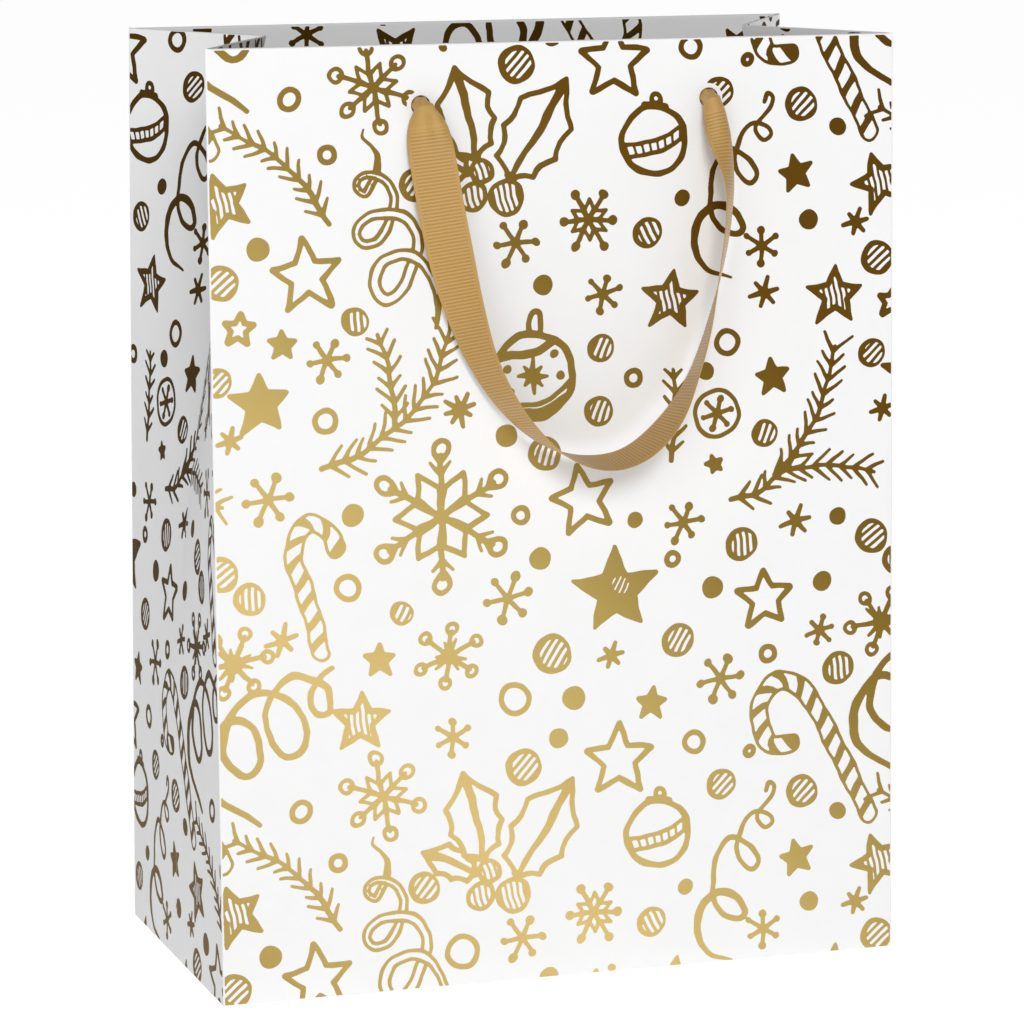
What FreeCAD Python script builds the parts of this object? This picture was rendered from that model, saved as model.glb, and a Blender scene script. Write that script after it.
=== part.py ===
import FreeCAD, Part
import math
import os

# Paper gift bag with side gussets, a turned-in top hem and two ribbon handles.
# Frame: millimetres, +Z up, origin at the middle of the base on the ground,
# front wall towards -Y, +X to the right of someone facing the front wall.

# Driving dimensions
bag_width = 250.0           # across the front wall
base_depth = 130.0          # front to back at the base, and the width of a gusset sheet
wall_height = 330.0         # along a wall, from base crease to top fold
mouth_depth = 109.0         # front to back at the top: the mouth is drawn together
paper = 0.3                 # coated art paper
crease_gap = 0.1            # a wall starts this far above its base crease
triangle_height = 65.0      # where the gusset's middle crease begins, above the base

hem_height = 45.0           # turned-in top of the sheet
hem_board_height = 38.0     # card strip inside the hem of the front and back walls
hem_board = 0.8             # thickness of that strip
hem_inset = 2.5             # hem and strip stop short of each gusset by this
seam_flap_width = 16.0      # glued flap down the inside of the back wall
seam_flap_inset = 1.5       # from the corner crease to the flap
seam_flap_gap = 1.5         # the flap ends this far below the hem and above the base board

front_flap_reach = 85.0     # bottom flaps, from their crease towards the middle
back_flap_reach = 85.0
side_flap_reach = 60.0
flap_gap = 0.3              # from a wall's inner face to a bottom flap
base_board = 1.2            # stiffening card laid over the bottom flaps
base_board_gap = 0.8        # from a wall's inner face to the base board

hole_drop = 21.0            # punched hole's centre, below the top fold
hole_radius = 3.5
ribbon_width = 16.0         # grosgrain ribbon
ribbon = 0.6                # thickness of the ribbon
ribbon_end_width = 5.0      # gathered where it leaves the hole
ribbon_stand_off = 4.0      # from the wall's outer face to the line the handle swings on
ribbon_tilt = 4.5           # degrees that the hanging handle stands away from the wall
stub_radius = 2.4           # gathered ribbon through the hole
stub_clearance = 0.45       # from the swing line to the end of the gathered stub
knot_width = 14.0
knot_height = 11.0
knot_depth = 9.0
knot_rounding = 3.6
knot_root = 3.0             # the stub runs this far into the knot
tail_length = 17.0          # free end of the ribbon below the knot
tail_overlap = 3.0          # length of tail inside the knot
tail_width = 13.0

# The handle's middle line: x from the bag's middle, then the distance below the swing line.
# The first and last points are the two punched holes.
HANDLE_ROUTE = [
    (-49.5, 0.0),
    (-47.0, 20.0),
    (-43.5, 43.0),
    (-39.0, 66.0),
    (-31.5, 90.0),
    (-18.5, 110.5),
    (-1.0, 124.0),
    (19.5, 125.5),
    (36.5, 112.5),
    (47.5, 92.0),
    (54.5, 68.5),
    (59.0, 44.5),
    (61.0, 21.0),
    (55.5, 0.0),
]
ARC_SHARE = 0.45            # share of the shorter run that an arc's tangent takes

# Worked out from the driving dimensions
half_width = bag_width / 2
half_base = base_depth / 2
lean = math.asin((base_depth - mouth_depth) / 2 / wall_height)
top_z = wall_height * math.cos(lean)
gusset_pinch = math.sqrt(half_base ** 2 - (mouth_depth / 2) ** 2)
hem_stack = paper + hem_board + paper
hole_z = wall_height - hole_drop
hole_xs = {"left": HANDLE_ROUTE[0][0], "right": HANDLE_ROUTE[-1][0]}
side_flap_z = 2 * paper
base_board_z = 3 * paper

OUTWARD_X = FreeCAD.Vector(1, 0, 0)
OUTWARD_Y = FreeCAD.Vector(0, 1, 0)
ORIGIN = FreeCAD.Vector(0, 0, 0)


def box(x_range, y_range, z_range):
    """A block between two corners."""
    corner = FreeCAD.Vector(x_range[0], y_range[0], z_range[0])
    return Part.makeBox(
        x_range[1] - x_range[0], y_range[1] - y_range[0], z_range[1] - z_range[0], corner)


def prism(points, direction):
    """A flat polygon pushed along a direction."""
    corners = [FreeCAD.Vector(*point) for point in points]
    face = Part.Face(Part.makePolygon(corners + corners[:1]))
    return face.extrude(direction)


def mirror_back(shape):
    """The same shape on the back wall."""
    return shape.mirror(ORIGIN, OUTWARD_Y)


def mirror_right(shape):
    """The same shape on the right gusset."""
    return shape.mirror(ORIGIN, OUTWARD_X)


def stand_on_front(shape):
    """Move a shape from the front wall's own frame to its place.

    In that frame X is along the wall, Y is the depth inwards from its outer face
    and Z is the distance up from the base crease.
    """
    placed = shape.copy()
    placed.rotate(ORIGIN, OUTWARD_X, -math.degrees(lean))
    placed.translate(FreeCAD.Vector(0, -half_base, 0))
    return placed


# Walls, hems and the card strips in them

def punch(panel):
    """Both ribbon holes, through everything at the top of a wall."""
    for x in hole_xs.values():
        drill = Part.makeCylinder(
            hole_radius, 4 * hem_stack, FreeCAD.Vector(x, -hem_stack, hole_z), OUTWARD_Y)
        panel = panel.cut(drill)
    return panel


def wall_panel():
    sheet = box((-half_width, half_width), (0, paper), (crease_gap, wall_height))
    return punch(sheet)


def hem_strip():
    """Card strip between the wall and its hem."""
    low = wall_height - paper - hem_board_height
    reach = half_width - hem_inset
    return punch(box((-reach, reach), (paper, paper + hem_board), (low, wall_height - paper)))


def hem_panel():
    """The turned-in sheet: a cap over the card strip, then down its inner side."""
    reach = half_width - hem_inset
    cap = box((-reach, reach), (paper, hem_stack), (wall_height - paper, wall_height))
    inner_side = box(
        (-reach, reach), (paper + hem_board, hem_stack),
        (wall_height - hem_height, wall_height - paper))
    return punch(cap.fuse(inner_side).removeSplitter())


def seam_flap():
    """Glued flap that closes the sheet, inside the back wall at its right corner."""
    edge = half_width - seam_flap_inset
    low = base_board_z + base_board + seam_flap_gap
    high = wall_height - hem_height - seam_flap_gap
    return box((edge - seam_flap_width, edge), (paper, 2 * paper), (low, high))


# Gussets

def wall_inner_y(z):
    """Front wall's inner face at a height."""
    return -half_base + paper / math.cos(lean) + z * math.tan(lean)


def gusset_layer(depth_in):
    """One sheet of the left gusset's front half, set inwards from the outer face.

    Below the slanting crease the sheet is flat. Above it the sheet is ruled between the
    corner crease and the middle crease, which runs in towards the bag's middle.
    """
    x = -half_width + depth_in
    corner_low = FreeCAD.Vector(x, wall_inner_y(0), 0)
    corner_top = FreeCAD.Vector(x, wall_inner_y(top_z), top_z)
    middle_low = FreeCAD.Vector(x, 0, 0)
    middle_apex = FreeCAD.Vector(x, 0, triangle_height)
    middle_top = FreeCAD.Vector(x + gusset_pinch, 0, top_z)
    triangle = prism([corner_low, middle_low, middle_apex], FreeCAD.Vector(paper, 0, 0))
    ruled = Part.makeRuledSurface(
        Part.LineSegment(corner_low, corner_top).toShape(),
        Part.LineSegment(middle_apex, middle_top).toShape())
    folded = ruled.extrude(FreeCAD.Vector(paper, 0, 0))
    return triangle.fuse(folded)


def gusset_half():
    return gusset_layer(0)


def gusset_hem():
    """Turned-in top of that gusset half."""
    band = box(
        (-half_width - base_depth, 0), (-base_depth, 0), (top_z - hem_height, top_z))
    return gusset_layer(paper).common(band)


# Base

def long_flap(reach):
    """Bottom flap folded in from the front wall."""
    edge = half_width - paper - flap_gap
    start = -half_base + paper + flap_gap
    return box((-edge, edge), (start, -half_base + reach), (0, paper))


def side_flap():
    """Bottom flap folded in from the left gusset, its corners cut away at 45 degrees."""
    outer = -half_width + paper + flap_gap
    inner = -half_width + side_flap_reach
    wide = half_base - paper - flap_gap
    narrow = wide - (inner - outer)
    outline = [
        (outer, -wide, side_flap_z),
        (inner, -narrow, side_flap_z),
        (inner, narrow, side_flap_z),
        (outer, wide, side_flap_z),
    ]
    return prism(outline, FreeCAD.Vector(0, 0, paper))


def base_card():
    reach_x = half_width - paper - base_board_gap
    reach_y = half_base - paper - base_board_gap
    return box(
        (-reach_x, reach_x), (-reach_y, reach_y), (base_board_z, base_board_z + base_board))


# Ribbon handles

def route_corners():
    """Arc data at each inner point of the route: start, middle and end, with the radius."""
    corners = []
    points = [FreeCAD.Vector(x, 0, -drop) for x, drop in HANDLE_ROUTE]
    for before, here, after in zip(points, points[1:], points[2:]):
        run_in = here - before
        run_out = after - here
        tangent = ARC_SHARE * min(run_in.Length, run_out.Length)
        half_turn = run_in.getAngle(run_out) / 2
        radius = tangent / math.tan(half_turn)
        run_in.normalize()
        run_out.normalize()
        towards_centre = run_out - run_in
        towards_centre.normalize()
        sagitta = radius / math.cos(half_turn) - radius
        corners.append({
            "start": here - run_in * tangent,
            "middle": here + towards_centre * sagitta,
            "end": here + run_out * tangent,
            "run_in": run_in,
            "run_out": run_out,
            "radius": radius,
            "length": 2 * half_turn * radius,
        })
    return corners


def sideways(direction):
    """Unit vector to one side of the route, in the ribbon's plane."""
    return FreeCAD.Vector(direction.z, 0, -direction.x)


def ribbon_side(corners, side):
    """Edges along one side of the ribbon, from the left hole to the right one.

    Both gathered ends are cut along the swing line.
    """
    half_end = side * ribbon_end_width / 2
    half_full = side * ribbon_width / 2
    first = FreeCAD.Vector(HANDLE_ROUTE[0][0], 0, -HANDLE_ROUTE[0][1])
    last = FreeCAD.Vector(HANDLE_ROUTE[-1][0], 0, -HANDLE_ROUTE[-1][1])
    at = first - OUTWARD_X * half_end
    edges = []
    for corner in corners:
        mean_run = corner["run_in"] + corner["run_out"]
        mean_run.normalize()
        start = corner["start"] + sideways(corner["run_in"]) * half_full
        middle = corner["middle"] + sideways(mean_run) * half_full
        end = corner["end"] + sideways(corner["run_out"]) * half_full
        edges.append(Part.LineSegment(at, start).toShape())
        edges.append(Part.Arc(start, middle, end).toShape())
        at = end
    finish = last + OUTWARD_X * half_end
    edges.append(Part.LineSegment(at, finish).toShape())
    return edges


def route_length(corners):
    """Length of the route with its arcs."""
    total = sum(corner["length"] for corner in corners)
    ends = [FreeCAD.Vector(x, 0, -drop) for x, drop in (HANDLE_ROUTE[0], HANDLE_ROUTE[-1])]
    stops = [ends[0]]
    for corner in corners:
        stops += [corner["start"], corner["end"]]
    stops.append(ends[1])
    for here, there in zip(stops[::2], stops[1::2]):
        total += (there - here).Length
    return total


def ribbon_handle():
    """Flat band along the route, gathered at both holes, hanging in front of the wall."""
    corners = route_corners()
    one_side = ribbon_side(corners, 1)
    other_side = ribbon_side(corners, -1)
    near = Part.LineSegment(
        one_side[0].Vertexes[0].Point, other_side[0].Vertexes[0].Point).toShape()
    far = Part.LineSegment(
        one_side[-1].Vertexes[-1].Point, other_side[-1].Vertexes[-1].Point).toShape()
    outline = Part.Wire(Part.__sortEdges__(one_side + [far] + other_side + [near]))
    band = Part.Face(outline).extrude(FreeCAD.Vector(0, ribbon, 0))
    band.translate(FreeCAD.Vector(0, -ribbon / 2, 0))
    band.rotate(ORIGIN, OUTWARD_X, -ribbon_tilt)
    band.translate(FreeCAD.Vector(0, -ribbon_stand_off, hole_z))
    length = route_length(corners)
    print("handle length %.1f mm, volume / (section x length) %.3f"
          % (length, band.Volume / (ribbon_width * ribbon * length)))
    print("handle arc radii", " ".join("%.0f" % corner["radius"] for corner in corners))
    return band


def ribbon_knot(x):
    """Knot behind the hem, its free end, and the gathered stub out through the hole."""
    back = hem_stack + knot_depth
    knot = box(
        (x - knot_width / 2, x + knot_width / 2), (hem_stack, back),
        (hole_z - knot_height / 2, hole_z + knot_height / 2))
    knot = knot.makeFillet(knot_rounding, knot.Edges)
    stub_end = -ribbon_stand_off + stub_clearance
    stub = Part.makeCylinder(
        stub_radius, hem_stack + knot_root - stub_end,
        FreeCAD.Vector(x, stub_end, hole_z), OUTWARD_Y)
    tail_y = hem_stack + knot_depth / 2
    tail_top = hole_z - knot_height / 2 + tail_overlap
    tail = box(
        (x - tail_width / 2, x + tail_width / 2), (tail_y, tail_y + ribbon),
        (tail_top - tail_overlap - tail_length, tail_top))
    return knot.fuse(stub).fuse(tail)


def build():
    """Every piece of the bag by name."""
    pieces = {}
    on_wall = {
        "wall": wall_panel(),
        "hem": hem_panel(),
        "hem_board": hem_strip(),
        "ribbon_handle": ribbon_handle(),
    }
    for side, x in hole_xs.items():
        on_wall[side + "_knot"] = ribbon_knot(x)
    for name, shape in on_wall.items():
        placed = stand_on_front(shape)
        pieces["front_" + name] = placed
        pieces["back_" + name] = mirror_back(placed)
    pieces["side_seam_flap"] = mirror_back(stand_on_front(seam_flap()))

    for name, shape in (("gusset", gusset_half()), ("gusset_hem", gusset_hem())):
        pieces["left_" + name + "_front"] = shape
        pieces["left_" + name + "_back"] = mirror_back(shape)
        pieces["right_" + name + "_front"] = mirror_right(shape)
        pieces["right_" + name + "_back"] = mirror_back(mirror_right(shape))

    pieces["bottom_front_flap"] = long_flap(front_flap_reach)
    back_flap = mirror_back(long_flap(back_flap_reach))
    back_flap.translate(FreeCAD.Vector(0, 0, paper))
    pieces["bottom_back_flap"] = back_flap
    pieces["bottom_left_flap"] = side_flap()
    pieces["bottom_right_flap"] = mirror_right(side_flap())
    pieces["base_board"] = base_card()
    return pieces


os.makedirs("parts", exist_ok=True)
for node, solid in build().items():
    solid.exportStep("parts/" + node + ".step")
    print("%-26s %9.1f mm3  solids %d  valid %s"
          % (node, solid.Volume, len(solid.Solids), solid.isValid()))
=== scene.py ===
import math

import bpy
import numpy as np
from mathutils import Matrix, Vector
from mathutils.geometry import delaunay_2d_cdt


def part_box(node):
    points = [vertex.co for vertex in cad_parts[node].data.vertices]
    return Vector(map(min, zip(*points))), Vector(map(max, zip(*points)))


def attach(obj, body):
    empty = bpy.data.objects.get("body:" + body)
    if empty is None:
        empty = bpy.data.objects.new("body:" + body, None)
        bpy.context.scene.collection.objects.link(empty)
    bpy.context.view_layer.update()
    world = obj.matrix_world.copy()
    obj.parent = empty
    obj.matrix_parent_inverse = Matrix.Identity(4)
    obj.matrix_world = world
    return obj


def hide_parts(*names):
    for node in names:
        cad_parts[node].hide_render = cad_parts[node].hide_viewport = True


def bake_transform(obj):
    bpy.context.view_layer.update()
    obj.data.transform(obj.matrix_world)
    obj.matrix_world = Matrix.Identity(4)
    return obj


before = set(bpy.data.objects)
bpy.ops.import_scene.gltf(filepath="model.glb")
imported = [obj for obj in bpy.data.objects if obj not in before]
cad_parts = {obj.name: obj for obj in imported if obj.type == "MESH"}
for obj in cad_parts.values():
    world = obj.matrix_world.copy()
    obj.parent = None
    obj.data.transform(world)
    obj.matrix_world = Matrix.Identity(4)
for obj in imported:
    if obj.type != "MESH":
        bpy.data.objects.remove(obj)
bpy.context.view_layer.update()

# Lengths are in millimetres until a mesh is made. Each wall has its own frame: x along the wall,
# depth inwards from its outer face, and up from its base crease. side is -1 for the front wall
# and +1 for the back wall; hand is -1 for the left gusset and +1 for the right one.
MM = 0.001
HALF_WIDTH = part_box("front_wall")[1].x / MM
HALF_BASE = 65.0
HEIGHT = 330.0
LEAN = math.asin((HALF_BASE - 54.5) / HEIGHT)
COS, SIN = math.cos(LEAN), math.sin(LEAN)
PAPER = 0.3
HEM = 45.0                    # height of the turned-in top
HEM_REACH = HALF_WIDTH - 2.5  # the wall's hem stops short of the gussets
WALL_FOLD = 0.7               # outer radius of the top fold, over the card strip
GUSSET_FOLD = 0.33
BASE_FOLD = 0.35
CORNER = 0.55                 # outer radius of the corner crease
PINCH = 35.4                  # the gusset's middle crease at the top, in from the corner
PINCH_FROM = 92.0             # height where the gusset starts to fold in
PINCH_CURVE = 1.5
HOLE_UP = HEIGHT - 21.0
HOLE_RADIUS = 3.5
HOLE_X = {"left": -49.5, "right": 55.5}
HALO = 5.0                    # the print keeps clear of each hole
PROUD = 0.05                  # how far the foil stands off the paper
SUNK = 0.02                   # how far its back lies in the paper
SWELL_TOP = 284.0             # a wall swells outwards from its base up to here
SWELL = 0.5
RIPPLE = 0.12                 # faint waves in the paper of a wall
BOW_TOP = 280.0               # a gusset half bows outwards from its base up to here
BOW = 0.35
FOLD_EXTRA = (math.pi - 2) * WALL_FOLD  # length of sheet that the wall's top fold takes up
FAR = 50.0                    # a distance in a drawing that means nowhere near


def linear(code):
    """Linear colour from a hex sRGB code."""
    parts = [int(code[i:i + 2], 16) / 255 for i in (0, 2, 4)]
    return [c / 12.92 if c <= 0.04045 else ((c + 0.055) / 1.055) ** 2.4 for c in parts] + [1.0]


# ---------------------------------------------------------------- the folded sheet

def stand(side, x, depth, up):
    """Points of a wall's own frame in the row frame, in millimetres."""
    x, depth, up = np.broadcast_arrays(x, depth, up)
    return np.stack([x, side * (HALF_BASE - depth * COS - up * SIN), up * COS - depth * SIN], -1)


def fold(v, inward, radius):
    """Depth and height of the sheet at v along it, where it turns over at the top."""
    start = HEIGHT - radius
    turn = np.clip((v - start) / radius, 0, math.pi)
    past = np.maximum(v - start - math.pi * radius, 0)
    up = np.minimum(v, start) + (radius - inward) * np.sin(turn) - past
    depth = radius - (radius - inward) * np.cos(turn)
    return depth, up


def pinch(up):
    """How far the middle crease has come in at a height."""
    share = np.clip((up - PINCH_FROM) / (HEIGHT - PINCH_FROM), 0, 1.02)
    return PINCH * share ** PINCH_CURVE


def gusset_angle(up):
    """How far a gusset half has turned inwards at a height."""
    return np.arctan2(pinch(up), HALF_BASE - up * SIN)


def wall_points(side):
    """A wall's sheet: s across from the middle, v up the wall and over the top fold."""
    def place(s, v, inward):
        s, v = np.asarray(s, float), np.asarray(v, float)
        on_hem = np.abs(s) <= HEM_REACH + 0.01
        depth, up = fold(v, inward, WALL_FOLD)
        depth = np.where(on_hem, depth, inward)
        up = np.where(on_hem, up, v)
        under = np.clip((BASE_FOLD - v) / BASE_FOLD, 0, math.pi / 2)
        low = v < BASE_FOLD
        up = np.where(low, BASE_FOLD - (BASE_FOLD - inward) * np.sin(under), up)
        depth = np.where(low, BASE_FOLD - (BASE_FOLD - inward) * np.cos(under), depth)
        edge = HALF_WIDTH - CORNER
        over = np.clip((np.abs(s) - edge) / CORNER, 0, 1)
        turn = over * (math.pi / 2 + gusset_angle(up))
        x = np.sign(s) * (np.minimum(np.abs(s), edge) + (CORNER - inward) * np.sin(turn))
        depth = depth + (CORNER - inward) * (1 - np.cos(turn))
        free = np.clip(np.minimum(v, SWELL_TOP - v), 0, SWELL_TOP) / (SWELL_TOP / 2)
        swell = SWELL * np.sin(free * math.pi / 2) ** 2 * np.cos(s / HALF_WIDTH * math.pi / 2) ** 2
        swell = swell + RIPPLE * free * np.sin(s / 31 + 1.1) * np.cos(v / 47) * (1 - over)
        return stand(side, x, depth - swell, up)
    return place


def gusset_points(hand, side):
    """Half of a gusset: t from the corner crease to the middle crease, v as on the walls."""
    def place(t, v, inward):
        t, v = np.asarray(t, float), np.asarray(v, float)
        deep, up = fold(v, inward, GUSSET_FOLD)
        angle = gusset_angle(up)
        turn = math.pi / 2 + angle
        corner = stand(
            side, hand * (HALF_WIDTH - CORNER + (CORNER - deep) * np.sin(turn)),
            CORNER - (CORNER - deep) * np.cos(turn), up)
        crease = np.stack([
            hand * (HALF_WIDTH - pinch(up) - deep / np.cos(angle)), 0 * up, up * COS], -1)
        share = (t / HALF_BASE)[..., None]
        rise = np.sin(np.clip(v, 0, BOW_TOP) / BOW_TOP * math.pi)[..., None]
        bow = BOW * np.sin(share * math.pi) * rise
        return corner + (crease - corner) * share - np.array([hand * 1.0, 0, 0]) * bow
    return place


def even_odd(points, loops):
    """Which points lie inside the loops, holes left out."""
    inside = np.zeros(len(points), bool)
    for loop in loops:
        a, b = loop, np.roll(loop, -1, 0)
        for start in range(0, len(points), 2000):
            p = points[start:start + 2000]
            above = (a[None, :, 1] > p[:, None, 1]) != (b[None, :, 1] > p[:, None, 1])
            with np.errstate(divide="ignore", invalid="ignore"):
                cut = (b[:, 0] - a[:, 0]) * (p[:, None, 1] - a[:, 1]) / (b[:, 1] - a[:, 1]) + a[:, 0]
            crossed = (above & (p[:, None, 0] < cut)).sum(1) % 2 == 1
            inside[start:start + 2000] ^= crossed
    return inside


def triangulate(loops, extra):
    """Triangles that fill the loops, through the extra points too."""
    points, edges = [], []
    for loop in loops:
        first = len(points)
        points += [Vector(p) for p in loop]
        count = len(loop)
        edges += [(first + i, first + (i + 1) % count) for i in range(count)]
    points += [Vector(p) for p in extra]
    found = delaunay_2d_cdt(points, edges, [], 0, 1e-5)
    flat = np.array([tuple(p) for p in found[0]])
    faces = np.array([f for f in found[2] if len(f) == 3])
    middle = flat[faces].mean(1)
    faces = faces[even_odd(middle, loops)]
    a, b, c = (flat[faces[:, k]] for k in range(3))
    doubled = (b - a)[:, 0] * (c - a)[:, 1] - (b - a)[:, 1] * (c - a)[:, 0]
    faces[doubled < 0] = faces[doubled < 0][:, ::-1]
    faces = faces[np.abs(doubled) > 1e-7]
    used, faces = np.unique(faces, return_inverse=True)
    return flat[used], faces.reshape(-1, 3)


def layers(flat, faces, place, outer, inner):
    """A closed skin: the flat triangles laid at two depths, joined round every edge."""
    count = len(flat)
    verts = np.concatenate([place(flat[:, 0], flat[:, 1], depth) for depth in (outer, inner)])
    a, b, c = (verts[faces[:, k]] for k in range(3))
    facing = np.einsum("ij,ij->i", np.cross(b - a, c - a), a - verts[faces[:, 0] + count])
    if facing.sum() < 0:
        faces = faces[:, ::-1]
    directed = np.stack([faces, np.roll(faces, -1, 1)], -1).reshape(-1, 2).tolist()
    there = set(map(tuple, directed))
    sides = [(j, i, i + count, j + count) for i, j in directed if (j, i) not in there]
    return verts, faces.tolist(), (faces[:, ::-1] + count).tolist(), sides


def new_mesh(name, verts, faces, materials, indices=None, sharp=35):
    """A mesh object in metres, smooth but for its sharp edges."""
    mesh = bpy.data.meshes.new(name)
    mesh.from_pydata((np.asarray(verts) * MM).tolist(), [], faces)
    for material in materials:
        mesh.materials.append(material)
    if indices is not None:
        mesh.polygons.foreach_set("material_index", np.asarray(indices, np.int32))
    mesh.polygons.foreach_set("use_smooth", np.ones(len(mesh.polygons), bool))
    mesh.validate()
    mesh.set_sharp_from_angle(angle=math.radians(sharp))
    mesh.update()
    piece = bpy.data.objects.new(name, mesh)
    bpy.context.scene.collection.objects.link(piece)
    return piece


def ticks(low, high, step):
    """Even stops from low to high, about a step apart."""
    return list(np.linspace(low, high, max(2, round((high - low) / step) + 1)))


def circle(x, y, radius, count=36):
    turn = np.arange(count) * 2 * math.pi / count
    return np.stack([x + radius * np.cos(turn), y + radius * np.sin(turn)], 1)


# each hole's two places along the sheet: in the wall and in the hem
HOLE_V = (HOLE_UP, 2 * HEIGHT + FOLD_EXTRA - HOLE_UP)


def lattice(outline, columns, rows, holes):
    """An outline cut at the columns and rows, with its holes, and the grid points inside it."""
    loop = []
    for start, end in zip(outline, outline[1:] + outline[:1]):
        along = 0 if start[1] == end[1] else 1
        stops = [c for c in (columns if along == 0 else rows)
                 if min(start[along], end[along]) < c < max(start[along], end[along])]
        if end[along] < start[along]:
            stops = stops[::-1]
        loop.append(start)
        loop += [(c, start[1]) if along == 0 else (start[0], c) for c in stops]
    loop = np.array(loop)
    grid = np.array([(c, r) for r in rows for c in columns])
    grid = grid[even_odd(grid + 1e-7, [loop])]
    for hole in holes:
        gap = np.hypot(*(grid - hole.mean(0)).T)
        grid = grid[gap > HOLE_RADIUS + 0.6]
    return [loop] + holes, grid


def sheet(name, outline, columns, rows, holes, place, materials):
    """A folded sheet of paper, its outside in the first material."""
    loops, grid = lattice(outline, columns, rows, holes)
    verts, skin, back, sides = layers(*triangulate(loops, grid), place, 0, PAPER)
    indices = [0] * len(skin) + [1] * (len(back) + len(sides))
    return new_mesh(name, verts, skin + back + sides, materials, indices)


def wall_shell(side, name, materials):
    """One wall with its turned-in top, from a single sheet, both holes punched."""
    w, r = HALF_WIDTH, HEM_REACH
    low = BASE_FOLD * (1 - math.pi / 2)
    top = HEIGHT + HEM + FOLD_EXTRA
    outline = [(-w, low), (w, low), (w, HEIGHT), (r, HEIGHT),
               (r, top), (-r, top), (-r, HEIGHT), (-w, HEIGHT)]
    edge = ticks(w - CORNER, w, CORNER / 6)
    columns = sorted([-c for c in edge] + [-r] + ticks(-120, 120, 8) + [r] + edge)
    start = HEIGHT - WALL_FOLD
    bend = ticks(start, start + math.pi * WALL_FOLD, 0.22)
    rows = (ticks(low, BASE_FOLD, 0.15) + ticks(8, HEIGHT - HEM, 8) + ticks(291, start - 0.01, 6)
            + bend + ticks(bend[-1] + 3, top - 0.01, 6))
    holes = [circle(x, v, HOLE_RADIUS) for v in HOLE_V for x in HOLE_X.values()]
    return sheet(name, outline, columns, sorted(rows), holes, wall_points(side), materials)


def gusset_shell(hand, side, name, materials):
    """Half a gusset with its turned-in top."""
    start = HEIGHT - GUSSET_FOLD
    low, top = 0.1, HEIGHT + HEM
    bend = ticks(start, start + math.pi * GUSSET_FOLD, 0.15)
    rows = sorted(ticks(low, start - 0.01, 7) + bend + ticks(bend[-1] + 3, top, 6))
    outline = [(0.0, low), (HALF_BASE, low), (HALF_BASE, top), (0.0, top)]
    return sheet(name, outline, ticks(0, HALF_BASE, 5), rows, [], gusset_points(hand, side), materials)


# ---------------------------------------------------------------- materials

def new_material(name, **settings):
    """A material, its node tree and its shader, with the settings on the shader's own sockets."""
    material = bpy.data.materials.new(name)
    material.use_nodes = True
    shader = material.node_tree.nodes["Principled BSDF"]
    for key, value in settings.items():
        shader.inputs[key.replace("_", " ")].default_value = value
    return material, material.node_tree, shader


def link(tree, source, target):
    tree.links.new(source, target)


def node(tree, kind, **inputs):
    made = tree.nodes.new(kind)
    for key, value in inputs.items():
        made.inputs[key.replace("_", " ")].default_value = value
    return made


def noise(tree, coordinates, scale, detail=4.0, roughness=0.5):
    made = node(tree, "ShaderNodeTexNoise", Scale=scale, Detail=detail, Roughness=roughness)
    link(tree, coordinates, made.inputs["Vector"])
    return made.outputs["Fac"]


def remap(tree, value, low, high, to_low, to_high):
    made = node(tree, "ShaderNodeMapRange")
    for index, number in enumerate((low, high, to_low, to_high), 1):
        made.inputs[index].default_value = number
    link(tree, value, made.inputs[0])
    return made.outputs[0]


def ramp(tree, value, stops):
    made = tree.nodes.new("ShaderNodeValToRGB")
    elements = made.color_ramp.elements
    while len(elements) < len(stops):
        elements.new(0.5)
    for element, (place, colour) in zip(elements, stops):
        element.position = place
        element.color = colour
    link(tree, value, made.inputs["Fac"])
    return made.outputs["Color"]


def tinted(tree, colour, fac, darkest):
    """The colour, multiplied by a pattern between the darkest tint and white."""
    mix = node(tree, "ShaderNodeMix")
    mix.data_type = "RGBA"
    mix.blend_type = "MULTIPLY"
    mix.inputs["Factor"].default_value = 1.0
    link(tree, colour, mix.inputs["A"])
    link(tree, ramp(tree, fac, [(0.3, (*darkest, 1)), (0.7, (1, 1, 1, 1))]), mix.inputs["B"])
    return mix.outputs["Result"]


def surface_place(tree):
    return node(tree, "ShaderNodeTexCoord").outputs["Object"]


def bump(tree, shader, height, strength, distance):
    made = node(tree, "ShaderNodeBump", Strength=strength, Distance=distance)
    link(tree, height, made.inputs["Height"])
    link(tree, made.outputs["Normal"], shader.inputs["Normal"])


def paper_material(name, light, dark, roughness, grain, depth, specular):
    """Paper: cloudy formation, fine fibres in the relief and an uneven gloss."""
    material, tree, shader = new_material(name, Specular_IOR_Level=specular)
    place = surface_place(tree)
    colour = ramp(tree, noise(tree, place, 90, 5, 0.6), [(0.3, (*dark, 1)), (0.7, (*light, 1))])
    link(tree, colour, shader.inputs["Base Color"])
    gloss = remap(tree, noise(tree, place, 400, 3), 0.3, 0.7, roughness - 0.05, roughness + 0.05)
    link(tree, gloss, shader.inputs["Roughness"])
    bump(tree, shader, noise(tree, place, grain, 6, 0.65), 0.25, depth)
    return material


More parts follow.
